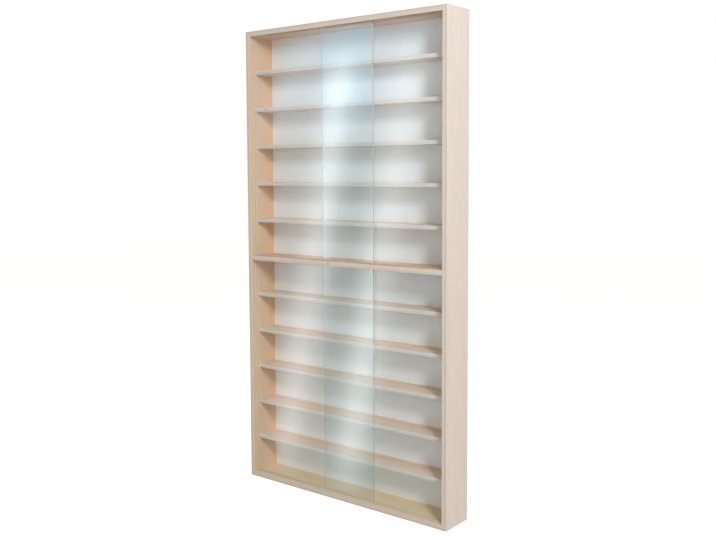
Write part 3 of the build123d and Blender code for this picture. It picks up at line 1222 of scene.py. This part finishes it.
@dataclass
class Studio:
    """The pale floor, the lamps, the reflector that shows in the glass, and the camera."""

    foot: float
    floor_half: float = 6.0
    floor_lift: float = 0.76
    floor_tone: Color = (0.7, 0.7, 0.7)
    ambient: float = 0.43
    ambient_color: Color = (1.0, 0.86, 0.70)
    lamps: tuple[SoftBox, ...] = (
        SoftBox(
            "key",
            place=(1.85, -1.32, 0.52),
            aim=(0.1, -0.05, -0.3),
            width=0.34,
            height=0.5,
            power=39.0,
            color=(0.80, 0.89, 1.0),
        ),
        SoftBox(
            "side",
            place=(1.2, 0.3, 0.55),
            aim=(0.29, -0.04, -0.3),
            width=0.3,
            height=0.3,
            power=2.5,
            color=(0.80, 0.89, 1.0),
        ),
        SoftBox(
            "fill",
            place=(0.6, -2.6, -0.2),
            aim=(0.0, -0.05, -0.5),
            width=1.6,
            height=1.6,
            power=11.5,
            color=(0.88, 0.94, 1.0),
        ),
        SoftBox(
            "rear",
            place=(-0.5, 2.4, 0.4),
            aim=(0.0, 0.0, -0.5),
            width=1.2,
            height=1.2,
            power=15.0,
            color=(0.86, 0.93, 1.0),
        ),
    )
    camera_place: Triple = (1.2752, -1.6237, -0.3105)
    camera_yaw: float = math.radians(38.417)
    camera_pitch: float = math.radians(4.131)
    camera_roll: float = math.radians(-0.271)
    camera_shift: float = -0.05
    camera_near: float = 0.05
    focal_pixels: float = 882.93
    image_width: int = 716
    sensor: float = 36.0
    pane_y: float = -0.0743
    card_foot_y: float = -0.1
    card_head_y: float = -1.1
    card_head_z: float = 0.6
    card_half: float = 2.6
    card_lower: Color = (0.12, 0.22, 0.25)
    card_upper: Color = (0.29, 0.47, 0.60)
    card_crown: Color = (0.76, 1.20, 1.62)
    # Where the reflector's lights start and end, by the X or Z at which the panes show it.
    crown_span: Span = (-0.28, -0.12)
    crown_left: Span = (-0.27, -0.15)
    crown_right: Span = (0.24, 0.12)
    strip_top: Span = (-0.12, -0.02)
    strip_top_loss: float = 0.9
    strip_foot: Span = (-1.06, -0.92)
    strip_foot_loss: float = 0.65
    strips: tuple[Strip, ...] = (
        Strip(top=(0.012, 0.0), bottom=(-0.195, -1.06), half_width=0.053, strength=2.0),
        Strip(top=(0.204, 0.0), bottom=(-0.003, -1.06), half_width=0.053, strength=1.8),
    )

    def world(self) -> None:
        """Makes a white surround that lights the case at a plain level."""
        world = bpy.data.worlds.new("studio")
        bpy.context.scene.world = world
        world.use_nodes = True
        world.node_tree.nodes.clear()
        graph = Graph(world.node_tree)
        light = graph.node("Background", {"Color": self.ambient_color, "Strength": self.ambient})
        seen = graph.node("Background", {"Color": WHITE, "Strength": 1.0})
        direct = graph.rays(Rays.CAMERA, Rays.GLOSSY, Rays.TRANSMISSION)
        mix = graph.node("MixShader", {0: direct, 1: light.outputs[0], 2: seen.outputs[0]})
        graph.feed(graph.node("OutputWorld").inputs["Surface"], mix.outputs[0])

    def floor(self) -> None:
        """Makes the pale floor that the case stands on."""
        deselect()
        bpy.ops.mesh.primitive_plane_add(size=2 * self.floor_half, location=(0, 0, self.foot))
        floor = bpy.context.object
        floor.name = "floor"
        settle(floor)
        material, graph = blank_material("pale floor")
        surface = graph.node("BsdfDiffuse", {"Color": self.floor_tone})
        seen = graph.rays(Rays.CAMERA, Rays.GLOSSY, Rays.TRANSMISSION)
        lift = graph.node("Emission", {"Strength": graph.math("MULTIPLY", seen, self.floor_lift)})
        total = graph.node("AddShader", {0: surface.outputs[0], 1: lift.outputs[0]})
        graph.surface(total.outputs[0])
        dress(floor, material)
        floor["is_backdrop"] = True

    def on_card(self, x: float, z: float) -> tuple[Vector, float]:
        """Finds the point of the reflector that the camera sees at a point of the panes.

        Args:
            x: The X of the point on the panes.
            z: The Z of the point on the panes.

        Returns:
            The point on the reflector, and how much larger a thing is there than on the panes.
        """
        eye_x, eye_y, eye_z = self.camera_place
        mirrored = Vector((eye_x, 2 * self.pane_y - eye_y, eye_z))
        way = Vector((x, self.pane_y, z)) - mirrored
        lean = (self.card_head_y - self.card_foot_y) / (self.card_head_z - self.foot)
        start = self.card_foot_y + lean * (mirrored.z - self.foot) - mirrored.y
        share = start / (way.y - lean * way.z)
        return mirrored + share * way, share

    def climb(self, graph: Graph, up: Socket, span: Span) -> Socket:
        """Rises from 0 to 1 over a stretch of the panes' height, as the camera sees it.

        Args:
            graph: The reflector's nodes.
            up: The height on the reflector.
            span: The Z on the panes where the rise starts and ends.

        Returns:
            How far up the stretch a point is.
        """
        low, high = (self.on_card(0.0, z)[0].z for z in span)
        return graph.ramp(up, low, high)

    def crown(self, graph: Graph, across: Socket, up: Socket) -> Socket:
        """Marks the bright crown at the head of the reflector, which ends softly at both sides.

        Args:
            graph: The reflector's nodes.
            across: The place across the reflector.
            up: The height on the reflector.

        Returns:
            The mark, from 0 to 1.
        """
        mark = self.climb(graph, up, self.crown_span)
        for side in (self.crown_left, self.crown_right):
            end, start = (self.on_card(x, self.crown_span[1])[0].x for x in side)
            mark = graph.math("MULTIPLY", mark, graph.ramp(across, end, start))
        return mark

    def bell(self, graph: Graph, strip: Strip, across: Socket, up: Socket) -> Socket:
        """Draws one strip of the reflector, soft at both edges.

        Args:
            graph: The reflector's nodes.
            strip: The strip.
            across: The place across the reflector.
            up: The height on the reflector.

        Returns:
            The strip's light, from 0 to 1.
        """
        top, wide = self.on_card(*strip.top)
        bottom, narrow = self.on_card(*strip.bottom)
        rise = graph.math("DIVIDE", graph.math("SUBTRACT", up, bottom.z), top.z - bottom.z)
        middle = graph.math("MULTIPLY_ADD", rise, top.x - bottom.x, bottom.x)
        growth = (wide - narrow) * strip.half_width
        spread = graph.math("MULTIPLY_ADD", rise, growth, narrow * strip.half_width)
        away = graph.math("DIVIDE", graph.math("SUBTRACT", across, middle), spread)
        square = graph.math("MULTIPLY", away, away)
        return graph.math("EXPONENT", graph.math("MULTIPLY", square, -1.0))

    def card_light(self) -> bpy.types.Material:
        """Makes the reflector's light: a soft gradient, a bright crown and the strips.

        Returns:
            The material.
        """
        material, graph = blank_material("reflector")
        place = graph.node("TexCoord").outputs["Object"]
        across, up = graph.part(place, "X"), graph.part(place, "Z")
        height = graph.ramp(up, self.foot, self.card_head_z)
        color = graph.blend(height, self.card_lower, self.card_upper)
        color = graph.blend(self.crown(graph, across, up), color, self.card_crown)
        light: Source = 0.0
        for strip in self.strips:
            bell = self.bell(graph, strip, across, up)
            light = graph.math("MULTIPLY_ADD", bell, strip.strength, light)
        fades = (
            (self.strip_top, -self.strip_top_loss, 1.0),
            (self.strip_foot, self.strip_foot_loss, 1.0 - self.strip_foot_loss),
        )
        for span, change, start in fades:
            kept = graph.math("MULTIPLY_ADD", self.climb(graph, up, span), change, start)
            light = graph.math("MULTIPLY", light, kept)
        base = graph.node("Emission", {"Color": color, "Strength": 1.0})
        shine = graph.node("Emission", {"Color": WHITE, "Strength": light})
        total = graph.node("AddShader", {0: base.outputs[0], 1: shine.outputs[0]})
        graph.surface(total.outputs[0])
        return material

    def reflector(self) -> None:
        """Makes the leaning card that the panes reflect. Only glass and metal see it."""
        run = self.card_head_y - self.card_foot_y
        rise = self.card_head_z - self.foot
        deselect()
        bpy.ops.mesh.primitive_plane_add(
            size=1,
            location=(0, self.card_foot_y + run / 2, self.foot + rise / 2),
            rotation=(math.atan2(rise, run), 0, 0),
        )
        card = bpy.context.object
        card.name = "reflector"
        card.scale = (2 * self.card_half, math.hypot(run, rise), 1)
        settle(card)
        dress(card, self.card_light())
        card.visible_camera = False
        card.visible_diffuse = False
        card.visible_shadow = False
        card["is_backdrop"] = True

    def lamp(self, box: SoftBox) -> None:
        """Adds one soft lamp.

        Args:
            box: The lamp's place, aim, size and light.
        """
        light = bpy.data.lights.new(box.name, "AREA")
        light.shape = "RECTANGLE"
        light.size = box.width
        light.size_y = box.height
        light.energy = box.power
        light.color = box.color
        lamp = bpy.data.objects.new(box.name, light)
        bpy.context.scene.collection.objects.link(lamp)
        lamp.location = box.place
        aim = Vector(box.aim) - Vector(box.place)
        lamp.rotation_euler = aim.to_track_quat("-Z", "Y").to_euler()

    def camera(self) -> None:
        """Adds the camera at the photograph's angle."""
        data = bpy.data.cameras.new("camera")
        data.sensor_width = self.sensor
        data.lens = self.focal_pixels * self.sensor / self.image_width
        data.shift_y = self.camera_shift
        data.clip_start = self.camera_near
        camera = bpy.data.objects.new("camera", data)
        bpy.context.scene.collection.objects.link(camera)
        turn = (
            Matrix.Rotation(self.camera_yaw, 4, "Z")
            @ Matrix.Rotation(math.pi / 2 - self.camera_pitch, 4, "X")
            @ Matrix.Rotation(self.camera_roll, 4, "Z")
        )
        camera.matrix_world = Matrix.Translation(self.camera_place) @ turn
        bpy.context.scene.camera = camera

    def build(self) -> None:
        """Sets up the whole studio."""
        bpy.context.scene.view_settings.view_transform = "Standard"
        self.world()
        self.floor()
        self.reflector()
        for box in self.lamps:
            self.lamp(box)
        self.camera()
        log.info("studio: floor, reflector, %d lamps and camera", len(self.lamps))


def main() -> None:
    """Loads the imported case, finishes every piece, and sets up the studio."""
    logging.basicConfig(level=logging.INFO, format="%(name)s: %(message)s")
    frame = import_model()
    cad_low, cad_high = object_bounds()
    nodes = frame["nodes"]
    Studio(cad_low.z).build()
    zinc = ZincPlate().material()
    Carcass(nodes).dress()
    BackPanel(nodes, zinc).dress()
    Glazing(nodes).dress()
    WallFixings(nodes, zinc).dress()
    dress(nodes["corner_biscuits"], BareBeech().material())


if __name__ == "__main__":
    main()
